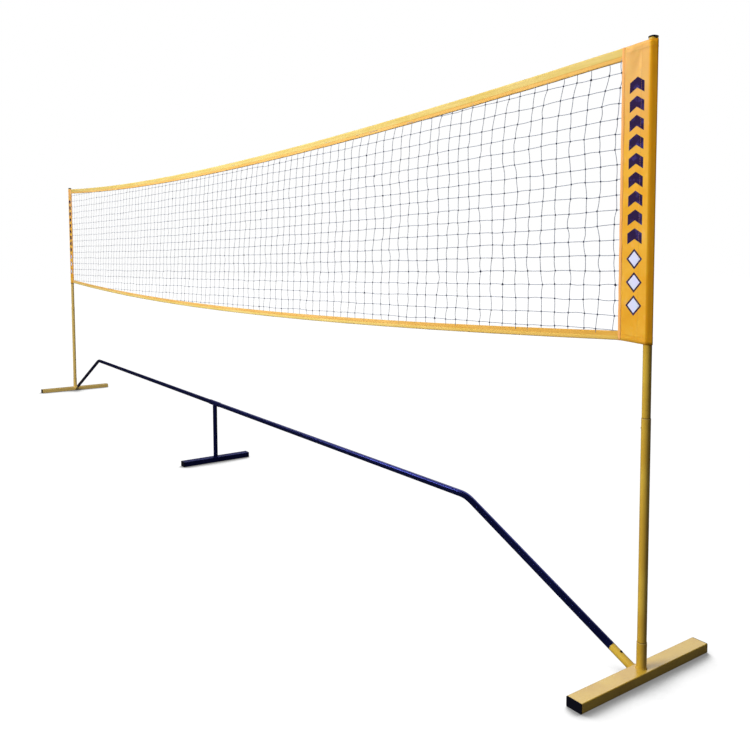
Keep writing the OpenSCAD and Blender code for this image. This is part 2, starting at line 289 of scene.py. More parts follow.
def putMesh(name, finish, points, faces, uvs=None, closed=True):
    # faces is a list of index arrays, uvs a list of matching coordinate arrays. A closed shape
    # with a volume below zero is inside out, so its faces are turned round.
    if closed and volumeOf(points, faces) < 0:
        faces = [f[:, ::-1] for f in faces]
        uvs = [u[:, ::-1] for u in uvs] if uvs else None
    sizes = np.concatenate([np.full(len(f), f.shape[1]) for f in faces])
    corners = np.concatenate([f.ravel() for f in faces])
    mesh = bpy.data.meshes.new(name)
    mesh.vertices.add(len(points))
    mesh.vertices.foreach_set("co", points.astype(np.float32).ravel())
    mesh.loops.add(len(corners))
    mesh.loops.foreach_set("vertex_index", corners.astype(np.int32))
    mesh.polygons.add(len(sizes))
    mesh.polygons.foreach_set("loop_start", (np.cumsum(sizes) - sizes).astype(np.int32))
    mesh.polygons.foreach_set("use_smooth", np.full(len(sizes), True))
    mesh.update(calc_edges=True)
    if uvs:
        layer = mesh.uv_layers.new(name="cloth")
        flat = np.concatenate([u.reshape(-1) for u in uvs])
        layer.uv.foreach_set("vector", flat.astype(np.float32))
    mesh.validate()
    mesh.materials.append(finish)
    item = bpy.data.objects.new(name, mesh)
    bpy.context.scene.collection.objects.link(item)
    return item


def mirrorX(points, sign):
    # x times the sign
    return points * np.array([sign, 1.0, 1.0])


def putCloth(name, grid, rowsAt, columnsAt, finish, depth, sign=1):
    # An open sheet over a grid of points, mirrored where sign is -1 and given its depth. Its own
    # coordinates are the metres at which its rows and columns lie.
    block = gridFaces(*grid.shape[:2])[:, ::sign]
    uv = np.stack(np.meshgrid(rowsAt, columnsAt, indexing="ij"), -1).reshape(-1, 2)
    points = mirrorX(grid.reshape(-1, 3), sign)
    item = putMesh(name, finish, points, [block], [uv[block]], closed=False)
    wall = item.modifiers.new("cloth", "SOLIDIFY")
    wall.thickness, wall.offset = depth, 0.0
    wall.use_even_offset = True
    return item


def unit(v):
    # Vectors over their own lengths
    return v / np.maximum(np.linalg.norm(v, axis=-1, keepdims=True), 1e-12)


def runOf(lines):
    # Distance from the first point of each line to every other, summed step by step
    steps = np.linalg.norm(np.diff(lines, axis=-2), axis=-1)
    return np.concatenate([np.zeros(steps.shape[:-1] + (1,)), np.cumsum(steps, -1)], -1)


def pointsAt(at, run, line):
    # Points at some distances along a line, whose own points lie at run
    return np.stack([np.interp(at, run, column) for column in line.T], -1)


def sweepTubes(paths, radius, sides, side=(0.0, 1.0, 0.0)):
    # A ring of points square to each path at each of its points: paths is (count, rings, 3)
    count, rings, _ = paths.shape
    ahead = unit(np.gradient(paths, axis=1))
    first = unit(np.cross(np.array(side), ahead))[:, :, None]
    second = np.cross(ahead[:, :, None], first)
    turn = (2 * np.pi * np.arange(sides) / sides)[:, None]
    ring = np.cos(turn) * first + np.sin(turn) * second
    points = (paths[:, :, None] + radius * ring).reshape(-1, 3)
    block = gridFaces(rings, sides, wrapColumns=True)
    start = (np.arange(count) * rings * sides)[:, None, None]
    walls = (block + start).reshape(-1, 4)
    low = np.arange(sides)[::-1]
    high = (rings - 1) * sides + np.arange(sides)
    caps = (np.stack([low, high]) + start).reshape(-1, sides)
    a, b = np.meshgrid(np.arange(rings - 1), np.arange(sides), indexing="ij")
    u = np.stack([b, b + 1, b + 1, b], -1).reshape(-1, 4) / sides
    v = runOf(paths)[:, np.stack([a, a, a + 1, a + 1], -1).reshape(-1, 4)]
    wallUv = np.stack([np.broadcast_to(u, v.shape), v], -1).reshape(-1, 4, 2)
    capUv = np.zeros((len(caps), sides, 2))
    return points, [walls, caps], [wallUv, capUv]


def loopTube(line, aside, radius, sides):
    # A ring of points square to a closed path at each of its points, the first square to aside
    ahead = unit(np.roll(line, -1, 0) - np.roll(line, 1, 0))
    first = unit(np.cross(ahead, aside))
    second = np.cross(ahead, first)
    turn = np.linspace(0, 2 * np.pi, sides, endpoint=False)[:, None]
    ring = np.cos(turn) * first[:, None] + np.sin(turn) * second[:, None]
    points = (line[:, None] + radius * ring).reshape(-1, 3)
    return points, [gridFaces(len(line), sides, True, True)]


def copies(shape, faces, places, turns):
    # One small shape set at each place, turned by its own matrix
    points = (np.einsum("nij,kj->nki", turns, shape) + places[:, None]).reshape(-1, 3)
    start = (np.arange(len(places)) * len(shape))[:, None, None]
    return points, [(f + start).reshape(-1, f.shape[1]) for f in faces]


powder = {
    "cloud": (9, 4), "peel": (620, 2),  # scale per metre and detail of each noise
    "grit": (140, 3, 0.6), "rub": (38, 5, 0.65),  # and its roughness
    "clouds": (0.35, 0.68), "specks": (0.62, 0.7), "rubs": (0.66, 0.74),  # where each comes up
    "speckled": 0.25,  # strength of the specks
    "uneven": 0.12,  # roughness that grit and rubbing add
    # A painted highlight just below each rim and painted shade just above it
    "litRim": (1.2 * mm, 0.7), "shadedRim": (1.8 * mm, 0.8),  # height and strength
    "leftEnd": (-1.6, -2.5),  # along X, where the painted paling starts and ends
    "peelDepth": 0.12 * mm, "gritDepth": 0.3 * mm,
    "lacquer": 1.65,  # index of refraction
}


def powderCoat(name, paint):
    # Orange peel over faint clouds, rubbed where it is handled, with a painted highlight below a
    # tube's rim, painted shade above it, and painted light that pales it towards the left end
    f = Finish(name)
    place = f.place()
    x, _, z = f.axes(place)
    peel, grit = f.noise(place, *powder["peel"]), f.noise(place, *powder["grit"])
    rub = f.clamp(f.noise(place, *powder["rub"]), *powder["rubs"])
    cloud = f.clamp(f.noise(place, *powder["cloud"]), *powder["clouds"])
    colour = f.mix(cloud, paint["dark"], paint["light"])
    specks = f.clamp(grit, *powder["specks"]) * powder["speckled"]
    colour = f.mix(specks, colour, paint["speck"])
    colour = f.mix(rub * paint["rubbed"], colour, paint["wornAndLit"])
    litHeight, litShare = powder["litRim"]
    shadeHeight, shadeShare = powder["shadedRim"]
    # Painted highlight just below each rim, painted shade just above it
    for rim in paint["rims"]:
        over = z - rim
        colour = f.mix((over > -litHeight) * (over < 0.0) * litShare, colour, paint["wornAndLit"])
        colour = f.mix((over > 0.0) * (over < shadeHeight) * shadeShare, colour, paint["rimShade"])
    # Painted light: paler towards the far left end
    paintedPaling = f.clamp(x, *powder["leftEnd"]) * paint["paintedPaling"]
    colour = f.mix(paintedPaling, colour, paint["wornAndLit"])
    rough = paint["rough"] + (grit - 0.5) * powder["uneven"] + rub * powder["uneven"]
    relief = f.bump(grit, 0.4 * paint["peel"], powder["gritDepth"])
    relief = f.bump(peel, paint["peel"], powder["peelDepth"], relief)
    return f.surface({
        "Base Color": colour, "Roughness": rough, "Normal": relief, "Metallic": paint["metal"],
        "Specular IOR Level": paint["shine"], "Coat Weight": paint["coat"],
        "Coat Roughness": paint["blur"], "Coat IOR": powder["lacquer"],
    })


def mouldedPlastic(name, plastic):
    # Black nylon with a spark-eroded grain and pale scuffs
    f = Finish(name)
    place = f.place()
    grain = f.noise(place, plastic["grain"], 2)
    scuff = f.clamp(f.noise(f.stretch(place, plastic["scuffs"]), 1, 4, 0.7), 0.62, 0.75)
    return f.surface({
        "Base Color": f.mix(scuff * 0.5, plastic["base"], plastic["scuff"]),
        "Roughness": plastic["rough"] + grain * 0.16 + scuff * 0.1,
        "Normal": f.bump(grain, 0.3, 0.2 * mm), "Specular IOR Level": plastic["shine"],
    })


def springSteel(name, metal):
    # Bright rolled strip, brushed along its length
    f = Finish(name)
    brush = f.noise(f.stretch(f.place(), metal["brush"]), 1, 3)
    return f.surface({
        "Base Color": f.mix(brush, metal["dark"], metal["light"]), "Metallic": 1.0,
        "Roughness": metal["rough"] + brush * 0.2, "Normal": f.bump(brush, 0.15, 0.1 * mm),
    })


mustard = {
    "dark": (200, 158, 48), "light": (214, 177, 62), "speck": (150, 110, 30),
    # Pale: wear, the painted highlight below a rim and the painted paling; dark: painted shade
    # above a rim
    "wornAndLit": (226, 198, 128), "rimShade": (84, 58, 14),
    "metal": 0.0, "rough": 0.4, "shine": 0.6,
    "coat": 1.0, "blur": 0.2,  # weight and roughness of the lacquer
    "peel": 0.25,  # strength of the orange peel
    "rubbed": 0.2, "paintedPaling": 0.55,  # strength of the handled patches, and of the painted paling
    "rims": (91 * mm, 645 * mm),  # heights of the tubes' mouths
}
navy = {
    "dark": (46, 52, 130), "light": (58, 66, 152), "speck": (30, 34, 90), "wornAndLit": (108, 112, 160),
    "metal": 0.93, "rough": 0.24, "shine": 0.5,  # a metallic paint
    "coat": 0.0, "blur": 0.1, "peel": 0.05, "rubbed": 0.1, "paintedPaling": 0.0, "rims": (),
}
black = {
    "base": (14, 14, 24), "scuff": (52, 52, 62),
    "grain": 900, "scuffs": (60, 60, 420),  # per metre
    "rough": 0.42, "shine": 0.3,
}
steel = {"dark": (150, 152, 156), "light": (190, 192, 196), "brush": (900, 900, 40), "rough": 0.25}

mustardPaint = powderCoat("mustardPaint", mustard)
navyPaint = powderCoat("navyPaint", navy)
blackNylon = mouldedPlastic("blackNylon", black)
stripSteel = springSteel("stripSteel", steel)

for nodeName, solid in nodes.items():
    if "cap" in nodeName or "button" in nodeName:
        paint = blackNylon
    elif "spring" in nodeName:
        paint = stripSteel
    elif nodeName.startswith(("rail_left", "rail_right", "rail_coupler", "centre")):
        paint = navyPaint
    else:
        paint = mustardPaint
    solid.data.materials.clear()
    solid.data.materials.append(paint)
print("finishes on the carried-over solids")

weld = {
    "bead": 1.5 * mm,  # radius
    "ripple": 0.22 * mm,  # height of the ripples
    "pitch": 2.6 * mm,  # from one ripple to the next
    "swell": 0.3, "swells": 5,  # height, in ripples, and number
    "rings": 180, "sides": 8,
}


def weldBead(name, path, body, finish, w):
    # A tube round a closed path whose radius swells once for each ripple of the weld
    share = np.linspace(0, 2 * np.pi, w["rings"], endpoint=False)
    line = np.stack(path(share), -1)
    girth = np.linalg.norm(np.roll(line, -1, 0) - line, axis=1).sum()
    wave = np.cos(share * round(girth / w["pitch"])) * w["ripple"]
    wave = wave + w["swell"] * w["ripple"] * np.sin(share * w["swells"])
    radius = (w["bead"] + wave)[:, None, None]
    item = putMesh(name, finish, *loopTube(line, line - line.mean(0), radius, w["sides"]))
    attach(item, body)


def levelRing(x, radius, z):
    # A level circle
    return lambda a: (x + radius * np.cos(a), radius * np.sin(a), z + 0 * a)


# Each bead runs some tenths of a millimetre outside its joint
railSlope = math.atan2(283.5, 623.5)  # rise and run in mm from its seat to its bend
seatZ = 12.5 * mm
for sideName, sign in (("Left", -1), ("Right", 1)):
    footLow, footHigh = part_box("end_foot_" + sideName.lower())
    socketLow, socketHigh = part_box("pole_socket_" + sideName.lower())
    railLow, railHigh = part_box("rail_socket_" + sideName.lower())
    poleX, footTop = (footLow.x + footHigh.x) / 2, footHigh.z
    poleR = (socketHigh.x - socketLow.x) / 2
    weldBead("poleSocketWeld" + sideName, levelRing(poleX, poleR + 0.4 * mm, footTop + 0.2 * mm),
             "base", mustardPaint, weld)
    sideX = footLow.x if sign > 0 else footHigh.x
    railR = (railHigh.y - railLow.y) / 2
    weldBead("railSocketWeld" + sideName, lambda a: (
        sideX - sign * 0.4 * mm + 0 * a,
        (railR + 0.3 * mm) * np.cos(a),
        np.maximum(seatZ + (railR / math.cos(railSlope) + 0.3 * mm) * np.sin(a), 2 * mm)),
        "base", mustardPaint, weld)
legLow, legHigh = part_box("centre_leg")
legX, legR = (legLow.x + legHigh.x) / 2, (legHigh.x - legLow.x) / 2
couplerLow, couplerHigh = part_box("rail_coupler")
couplerZ, couplerR = (couplerLow.z + couplerHigh.z) / 2, (couplerHigh.z - couplerLow.z) / 2
weldBead("legFootWeld", levelRing(legX, legR + 0.3 * mm, legLow.z + 0.2 * mm),
         "base", navyPaint, weld)
weldBead("legCouplerWeld", lambda a: (
    legX + legR * np.cos(a),
    legR * np.sin(a),
    couplerZ - np.sqrt(np.maximum(couplerR ** 2 - (legR * np.sin(a)) ** 2, 0)) - 0.2 * mm),
    "base", navyPaint, weld)
print("weld beads")

tapes = {
    "topHeight": 30 * mm, "bottomHeight": 22 * mm,
    "cloth": 0.45 * mm, "hem": 9.5 * mm,
    "rows": 560, "columns": 61,
    "over": 6 * mm,  # into a sleeve
    "pinch": 20 * mm, "pinched": 0.35,  # length of its squeezed end, and share of depth
    "ripple": 1.1 * mm,  # slack, out of the net's plane
    "stitch": {"pitch": 4.6 * mm, "length": 3.3 * mm, "thread": 0.36 * mm},
    "hemSeam": 1.08 * mm,  # distance out of the hem's stitches
    "lowSeam": (2.2 * mm, 1.24 * mm),  # height and distance out of the edge's
}
netLow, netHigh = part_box("net")
netHalf, netY = netHigh.x, (netLow.y + netHigh.y) / 2
topLow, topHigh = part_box("top_tape")
bottomLow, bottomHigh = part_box("bottom_tape")
topSag = topHigh.z - topLow.z - tapes["topHeight"]
bottomSag = bottomHigh.z - bottomLow.z - tapes["bottomHeight"]


def sagAt(x, depth):
    # A hanging edge is a parabola, lowest at mid-span
    return depth * (1 - (x / netHalf) ** 2)


def topEdge(x):
    # Each tape's outer edge hangs so, and its hem lies the tape's height inside it
    return topHigh.z - sagAt(x, topSag)


def topHem(x):
    return topEdge(x) - tapes["topHeight"]


def bottomEdge(x):
    return bottomLow.z + bottomSag - sagAt(x, bottomSag)


def bottomHem(x):
    return bottomEdge(x) + tapes["bottomHeight"]


mesh = {
    "columns": 94, "rows": 18,
    "firstRow": 1.4807, "rowPitch": 38.9 * mm,
    "rowSag": 19.7 * mm,  # of the second row
    "stretch": 0.0011, "spread": 0.0001,  # of the row pitch, per m and m2 from mid-span
    "crowding": (0.06, 0.0116),  # even and odd shares by which columns crowd right
    "lean": 0.49,  # of the columns, whose heads hang to the right
    "leanPowers": (1.5, 0.5),  # from the right and from the left
    "pull": 13 * mm, "pullRows": 1.6,  # of the top corners, and the rows it reaches down
    "edge": 13 * mm,  # from a sleeve to the first column
    "sway": 2.6 * mm, "lift": 1.0 * mm,  # how far knots wander along and down
    "rowSway": 0.9, "knotSway": 0.5,  # shares of the sway for a whole row and for one knot
    "cord": 0.84 * mm,  # radius of the strings
    "upright": (0.58 * mm, 0.86 * mm),  # and of the uprights, from left to right
    "steps": 6, "sides": 6,
    "bow": 1.5 * mm, "dip": 0.7 * mm,  # of the uprights and the strings between knots
    "shortRun": 25 * mm,  # below which a run bows less
    "margin": 3 * mm,  # from a tape, in which a knot is sewn in
    "tuck": 6 * mm, "endTuck": 5 * mm,  # of the uprights and the strings
    "inTape": 0.45,  # share of a tape's height where strings lie
    "apart": 0.4 * mm,  # keeps an upright's tucked points from meeting
}


def smoothNoise(shape, reach):
    # Random numbers averaged over their neighbours, scaled back to a spread of one
    raw = rng.normal(size=shape)
    for axis, n in enumerate(reach):
        kernel = np.hanning(2 * n + 3)
        raw = np.apply_along_axis(
            lambda r: np.convolve(np.pad(r, n + 1, "edge"), kernel, "valid"), axis, raw)
    return raw / raw.std()


def knotPlaces(m):
    # The second row is a parabola and the rest follow at a pitch that shrinks to the right.
    # Columns crowd to the right, lean most left of mid-span, and bend where the corners pull.
    size = (m["columns"], m["rows"])
    i = np.arange(m["columns"])[:, None]
    j = np.arange(m["rows"])[None, :]
    even = 2 * i / (m["columns"] - 1) - 1
    crowd, skew = m["crowding"]
    x = (netHalf - m["edge"]) * (even + crowd * (1 - even ** 2) + skew * (even ** 3 - even))
    pitch = m["rowPitch"] - m["stretch"] * x + m["spread"] * x ** 2
    z = m["firstRow"] - m["rowPitch"] - sagAt(x, m["rowSag"]) - (j - 1) * pitch
    z = z + m["lift"] * smoothNoise(size, (1, 0))
    fromRight = (1 - x / netHalf) / 2
    grow, fall = m["leanPowers"]
    lean = m["lean"] * fromRight ** grow * (1 - fromRight) ** fall
    lean = lean * (z - (topHigh.z + bottomLow.z) / 2)
    pull = x / netHalf * np.exp(-j / m["pullRows"]) * m["pull"]
    sway = smoothNoise(size, (0, 1)) + m["rowSway"] * smoothNoise((1, m["rows"]), (0, 1))
    sway = sway + m["knotSway"] * rng.normal(size=size)
    x = x + lean + pull + m["sway"] * sway
    return np.stack([x, 0 * x + netY, z], -1)


def cordPaths(stops, m, wander, across):
    # Straight runs between stops, each bowed by a half sine, half as far in depth as across, and
    # less where a run is short
    count, runs = stops.shape[0], stops.shape[1] - 1
    share = np.arange(m["steps"]) / m["steps"]
    a, b = stops[:, :-1, None], stops[:, 1:, None]
    line = a + (b - a) * share[:, None]
    bow = rng.normal(size=(count, runs, 1, 2)) * wander
    bow = bow * np.clip(np.linalg.norm(b - a, axis=-1, keepdims=True) / m["shortRun"], 0, 1)
    swing = np.sin(np.pi * share)[:, None] * bow
    line = line + swing[..., :1] * np.array(across) + swing[..., 1:] * np.array([0.0, 0.5, 0.0])
    return np.concatenate([line.reshape(count, -1, 3), stops[:, -1:]], 1)


def twistedCord(name, c):
    # Laid cord: strands wind round it, with painted shade between them and painted highlight on
    # their crowns, and painted light pales it towards the left
    f = Finish(name)
    place = f.place()
    u, v, _ = f.axes(f.along())
    strand = f.wave(u * 2 + v / c["lay"], 1.0)
    fray = f.noise(place, c["fray"], 2)
    shade = f.clamp(strand + (fray - 0.5) * 0.8, -1.0, 1.0)
    colour = f.mix(shade, c["dark"], c["light"])
    # Painted light: paler towards the left
    paintedPaling = f.clamp(f.axes(place)[0], *c["leftward"]) * c["paintedPaling"]
    colour = f.mix(paintedPaling, colour, c["pale"])
    relief = f.bump(strand * 0.5 + fray * 0.3, 0.6, 0.3 * mm)
    return f.surface({"Base Color": colour, "Roughness": 0.55 + fray * 0.2, "Normal": relief})


cord = {
    "dark": (104, 112, 132), "light": (160, 168, 188), "pale": (206, 210, 222),
    "paintedPaling": 0.2, "leftward": (0.6, -2.4),  # how pale the painted paling makes it, and where
    "lay": 3.2 * mm, "fray": 1400,  # length of one turn, and fuzz per metre
}
netCord = twistedCord("netCord", cord)
uprightCord = twistedCord("uprightCord", dict(cord, paintedPaling=0.5))
# The knots: the cord painted much darker, as painted shade in their tight turns
shadedKnotCord = twistedCord("shadedKnotCord", dict(cord, dark=(20, 22, 40), light=(48, 52, 76)))

knots = knotPlaces(mesh)
inTop = knots[..., 2] > topHem(knots[..., 0]) - mesh["margin"]
inBottom = knots[..., 2] < bottomHem(knots[..., 0]) + mesh["margin"]

# Columns run from tape to tape, through the knots that lie between the tapes
columnTop, columnLow = knots[:, 0] * 1.0, knots[:, -1] * 1.0
columnTop[:, 2] = topHem(columnTop[:, 0]) + mesh["tuck"]
columnLow[:, 2] = bottomHem(columnLow[:, 0]) - mesh["tuck"]
stops = np.concatenate([columnTop[:, None], knots, columnLow[:, None]], 1)
stops[..., 2] = np.clip(stops[..., 2], columnLow[:, None, 2], columnTop[:, None, 2])
uprights = cordPaths(stops, mesh, mesh["bow"], (1.0, 0.0, 0.0))
uprights[..., 2] = np.clip(uprights[..., 2], columnLow[:, None, 2], columnTop[:, None, 2])
uprights[..., 2] -= np.linspace(0, mesh["apart"], uprights.shape[1])
girth = np.interp(uprights[:, :, 0], (-netHalf, netHalf), mesh["upright"])[..., None, None]
netUprights = putMesh("netUprights", uprightCord, *sweepTubes(uprights, girth, mesh["sides"]))

# Rows run from sleeve to sleeve
rowKnots = np.swapaxes(knots, 0, 1)
leftEnd, rightEnd = rowKnots[:, :1] * 1.0, rowKnots[:, -1:] * 1.0
leftEnd[..., 0], rightEnd[..., 0] = -netHalf - mesh["endTuck"], netHalf + mesh["endTuck"]
stops = np.concatenate([leftEnd, rowKnots, rightEnd], 1)
highest = topEdge(stops[..., 0]) - mesh["inTape"] * tapes["topHeight"]
lowest = bottomEdge(stops[..., 0]) + mesh["inTape"] * tapes["bottomHeight"]
stops[..., 2] = np.maximum(np.minimum(stops[..., 2], highest), lowest)
strings = cordPaths(stops, mesh, mesh["dip"], (0.0, 0.0, 1.0))
netStrings = putMesh("netStrings", netCord, *sweepTubes(strings, mesh["cord"], mesh["sides"]))

knot = {
    "reach": (1.5, 0.75, 1.35),  # mm along the net, out of it and up
    "skew": 0.4,  # between its turns, in radians
    "twine": 1.2 * mm,  # radius
    "rings": 12, "sides": 4,
    "turned": 0.2,  # spread of turn and tip, in radians
    "joins": 0.03, "joinSize": 1.4,  # share that join twine, and their size
}


def knotShape(k):
    # A closed loop that crosses itself twice, as the turns of a sheet bend do
    along, out, up = k["reach"]
    t = np.linspace(0, 2 * np.pi, k["rings"], endpoint=False)
    line = [along * np.sin(t), out * np.cos(3 * t), up * np.sin(2 * t + k["skew"])]
    return loopTube(np.stack(line, -1) * mm, np.array([0.0, -1.0, -0.2]), k["twine"], k["sides"])


shape, blocks = knotShape(knot)
places = knots[~(inTop | inBottom)]
spin = rng.integers(0, 4, len(places)) * np.pi / 2 + rng.normal(size=len(places)) * knot["turned"]
tip = rng.normal(size=len(places)) * knot["turned"]
cosSpin, sinSpin, cosTip, sinTip = np.cos(spin), np.sin(spin), np.cos(tip), np.sin(tip)
zero, one = np.zeros(len(places)), np.ones(len(places))
aboutY = np.stack([cosSpin, zero, sinSpin, zero, one, zero, -sinSpin, zero, cosSpin], -1)
aboutX = np.stack([one, zero, zero, zero, cosTip, -sinTip, zero, sinTip, cosTip], -1)
turns = aboutY.reshape(-1, 3, 3) @ aboutX.reshape(-1, 3, 3)
size = np.where(rng.random(len(places)) < knot["joins"], knot["joinSize"], 1.0)[:, None, None]
points, faces = copies(shape, blocks, places, size * turns)
patch = np.array([[0, 0], [0.25, 0], [0.25, 0.001], [0, 0.001]])  # each face's piece of cord
netKnots = putMesh("netKnots", shadedKnotCord, points, faces, [np.tile(patch, (len(faces[0]), 1, 1))])
for item in (netUprights, netStrings, netKnots):
    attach(item, "poles")
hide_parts("net")
print("net:", len(places), "knots")


def stitchShape(stitch):
    # A low lens of four sides: thread that dips into the cloth at both ends
    along = np.array([-0.5, -0.25, 0.25, 0.5]) * stitch["length"]
    girth = np.array([0.25, 1.0, 1.0, 0.25]) * stitch["thread"]
    sink = np.array([-0.8, 0.0, 0.0, -0.8]) * stitch["thread"]
    turn = np.pi / 4 + np.arange(4) * np.pi / 2
    ring = np.stack([0 * turn, np.cos(turn), np.sin(turn)], -1)
    points = ring[None] * girth[:, None, None]
    points[..., 0] += along[:, None]
    points[..., 2] += sink[:, None]
    ends = np.array([[3, 2, 1, 0], [12, 13, 14, 15]])
    return points.reshape(-1, 3), [gridFaces(4, 4, wrapColumns=True), ends]


def stitchRow(name, lines, stitch, finish):
    # Stitches at even steps along each (points, normals) line, turned to lie on the cloth
    placed, turned = [], []
    for line, normal in lines:
        run, pitch = runOf(line), stitch["pitch"]
        at = np.arange(pitch / 2, run[-1], pitch)
        later, earlier = (pointsAt(at + step * pitch, run, line) for step in (0.2, -0.2))
        out, ahead = unit(pointsAt(at, run, normal)), unit(later - earlier)
        side = unit(np.cross(out, ahead))
        placed.append(pointsAt(at, run, line))
        turned.append(np.stack([ahead, side, np.cross(ahead, side)], -1))
    shape, blocks = stitchShape(stitch)
    row = copies(shape, blocks, np.concatenate(placed), np.concatenate(turned))
    return putMesh(name, finish, *row)


thread = {"straw": (236, 196, 96), "amber": (214, 146, 52), "shade": 0.82, "fuzz": 2200}


def threadFinish(name, code):
    # Fuzz that goes from the thread's colour to a darker shade of it
    f = Finish(name)
    fuzz = f.noise(f.place(), thread["fuzz"], 2)
    return f.surface({
        "Base Color": f.mix(fuzz, [c * thread["shade"] for c in code], code),
        "Roughness": 0.5 + fuzz * 0.2, "Normal": f.bump(fuzz, 0.4, 0.2 * mm),
    })


strawThread = threadFinish("strawThread", thread["straw"])
amberThread = threadFinish("amberThread", thread["amber"])


def tapeProfile(height, t):
    # A turned-in hem, a stitched groove and a soft roll over the cord, then their mirror image
    hem = t["hem"]
    y = [0.35, 0.38, 0.45, 0.62, 0.85, 1.0, 1.05, 0.8, 1.15, 1.7, 2.1, 2.1, 1.8, 1.1, 0.0]
    y = np.array(y) * mm
    rise = [hem, hem * 0.5, 1.0 * mm, 0.0, 1.0 * mm, hem * 0.5, hem - 1.4 * mm, hem, hem + 1.6 * mm]
    roll = height - np.array([9.0, 5.0, 3.2, 1.6, 0.45, 0.0]) * mm
    z = np.concatenate([rise, roll]) - height
    half = np.stack([-y, z], -1)
    other = np.stack([y[:-1], z[:-1]], -1)[::-1]
    rough = np.concatenate([half, other])
    run = runOf(rough)
    fine = pointsAt(np.linspace(0, run[-1], t["columns"]), run, rough)
    return fine[:, 0], fine[:, 1], run[-1]


def tapeAt(x, y, z, edge, flip, phase, t):
    # The profile hung from its edge at x, with slack ripples that die away at the pinched ends
    ripple = 0.5 * np.sin(x * 23 + phase) + 0.35 * np.sin(x * 61 + 2 * phase)
    ripple = ripple + 0.25 * np.sin(x * 140)
    ends = np.clip((netHalf + t["over"] - np.abs(x)) / t["pinch"], 0.0, 1.0)
    squeeze = t["pinched"] + (1 - t["pinched"]) * ends
    swell = 1 + 0.06 * np.sin(x * 37 + 1.3 * phase) + 0.05 * np.sin(x * 173)
    out = y * squeeze * swell + ripple * t["ripple"] * ends
    return np.stack([x + 0 * out, netY + out, edge(x) + flip * z], -1)


def makeTape(name, node, height, edge, flip, look, phase, t):
    # The profile carried along the net, with two rows of stitches on each face
    y, z, width = tapeProfile(height, t)
    x = np.linspace(-netHalf - t["over"], netHalf + t["over"], t["rows"])
    grid = tapeAt(x[:, None], y[None], z[None], edge, flip, phase, t)
    item = putCloth(name, grid, x, np.linspace(0, width, t["columns"]), look, t["cloth"])
    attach(item, "poles")
    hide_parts(node)
    lines = []
    run = np.linspace(-netHalf + 2 * mm, netHalf - 2 * mm, 900)
    for up, out in ((t["hem"], t["hemSeam"]), t["lowSeam"]):
        for sign in (-1, 1):
            across, rise = sign * out + 0 * run, up - height + 0 * run
            line = tapeAt(run, across, rise, edge, flip, phase, t)
            lines.append((line, np.array([[0.0, sign, 0.0]]) + 0 * line))
    seams = stitchRow(name + "Seams", lines, t["stitch"], strawThread)
    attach(seams, "poles")


def wovenTape(name, cloth):
    # Plain weave: u runs along the tape and v round its fold, in metres. Folding v at mid-width
    # gives both faces the same hem and groove.
    f = Finish(name)
    place, along = f.place(), f.along()
    u, v, _ = f.axes(along)
    weave = f.wave(u, cloth["pitch"]) * f.wave(v, cloth["pitch"]) * 0.5 + 0.5
    cloud = f.clamp(f.noise(f.stretch(place, (5, 60, 60)), 1, 4, 0.6), 0.3, 0.7)
    slub = f.noise(f.stretch(along, (60, 900, 1)), 1, 2)
    inward, band, soft = f.math("PINGPONG", v, cloth["width"] / 2), cloth["band"], cloth["soft"]
    hem = f.clamp(inward, band + soft, band - soft)
    groove = 1 - f.clamp(f.math("ABSOLUTE", inward - band), 0.0, cloth["grooveHalf"])
    body = f.mix(cloud, cloth["deep"], cloth["pale"])
    edge = f.mix(cloud, cloth["hemDeep"], cloth["hemPale"])
    colour = f.mix(hem, body, edge)
    # More orange towards the right end
    rightTinted = f.clamp(f.axes(place)[0], *cloth["rightward"]) * cloth["rightTinted"]
    colour = f.mix(rightTinted, colour, cloth["rightTint"])
    # Painted shade in the stitched groove
    colour = f.mix(groove * 0.55, colour, cloth["groove"])
    # Painted shade between the threads, with random slub tone
    colour = f.mix((1 - weave) * 0.1 + (slub - 0.5) * 0.1, colour, cloth["gap"])
    return f.surface({
        "Base Color": colour, "Roughness": 0.72 - weave * 0.1,
        "Normal": f.bump(weave + slub * 0.5, 0.45, 0.3 * mm),
        "Sheen Weight": 0.05, "Sheen Roughness": 0.5, "Specular IOR Level": 0.3,
    })


strawCloth = {
    "deep": (216, 188, 98), "pale": (226, 201, 124),
    "hemDeep": (226, 173, 86), "hemPale": (236, 190, 110),
    # groove and gap: painted shade in the stitched groove and between the threads
    "groove": (196, 140, 44), "gap": (196, 150, 60), "rightTint": (214, 158, 44),
    "pitch": 1.1 * mm,
    "width": tapeProfile(tapes["topHeight"], tapes)[2],
    "band": 2 * tapes["hem"] + 1.4 * mm,  # from the turned-in edge to the groove
    "soft": 0.6 * mm, "grooveHalf": 0.9 * mm,
    "rightTinted": 0.0, "rightward": (1.0, 2.3),  # share of a more orange tone towards the right, and where it comes up
}
lowerWidth = tapeProfile(tapes["bottomHeight"], tapes)[2]
topWeave = wovenTape("topWeave", strawCloth)
bottomWeave = wovenTape("bottomWeave", dict(strawCloth, width=lowerWidth, rightTinted=0.5))
makeTape("topTape", "top_tape", tapes["topHeight"], topEdge, 1, topWeave, 0.0, tapes)
makeTape("bottomTape", "bottom_tape", tapes["bottomHeight"], bottomEdge, -1, bottomWeave, 1.7,
         tapes)
print("tapes")

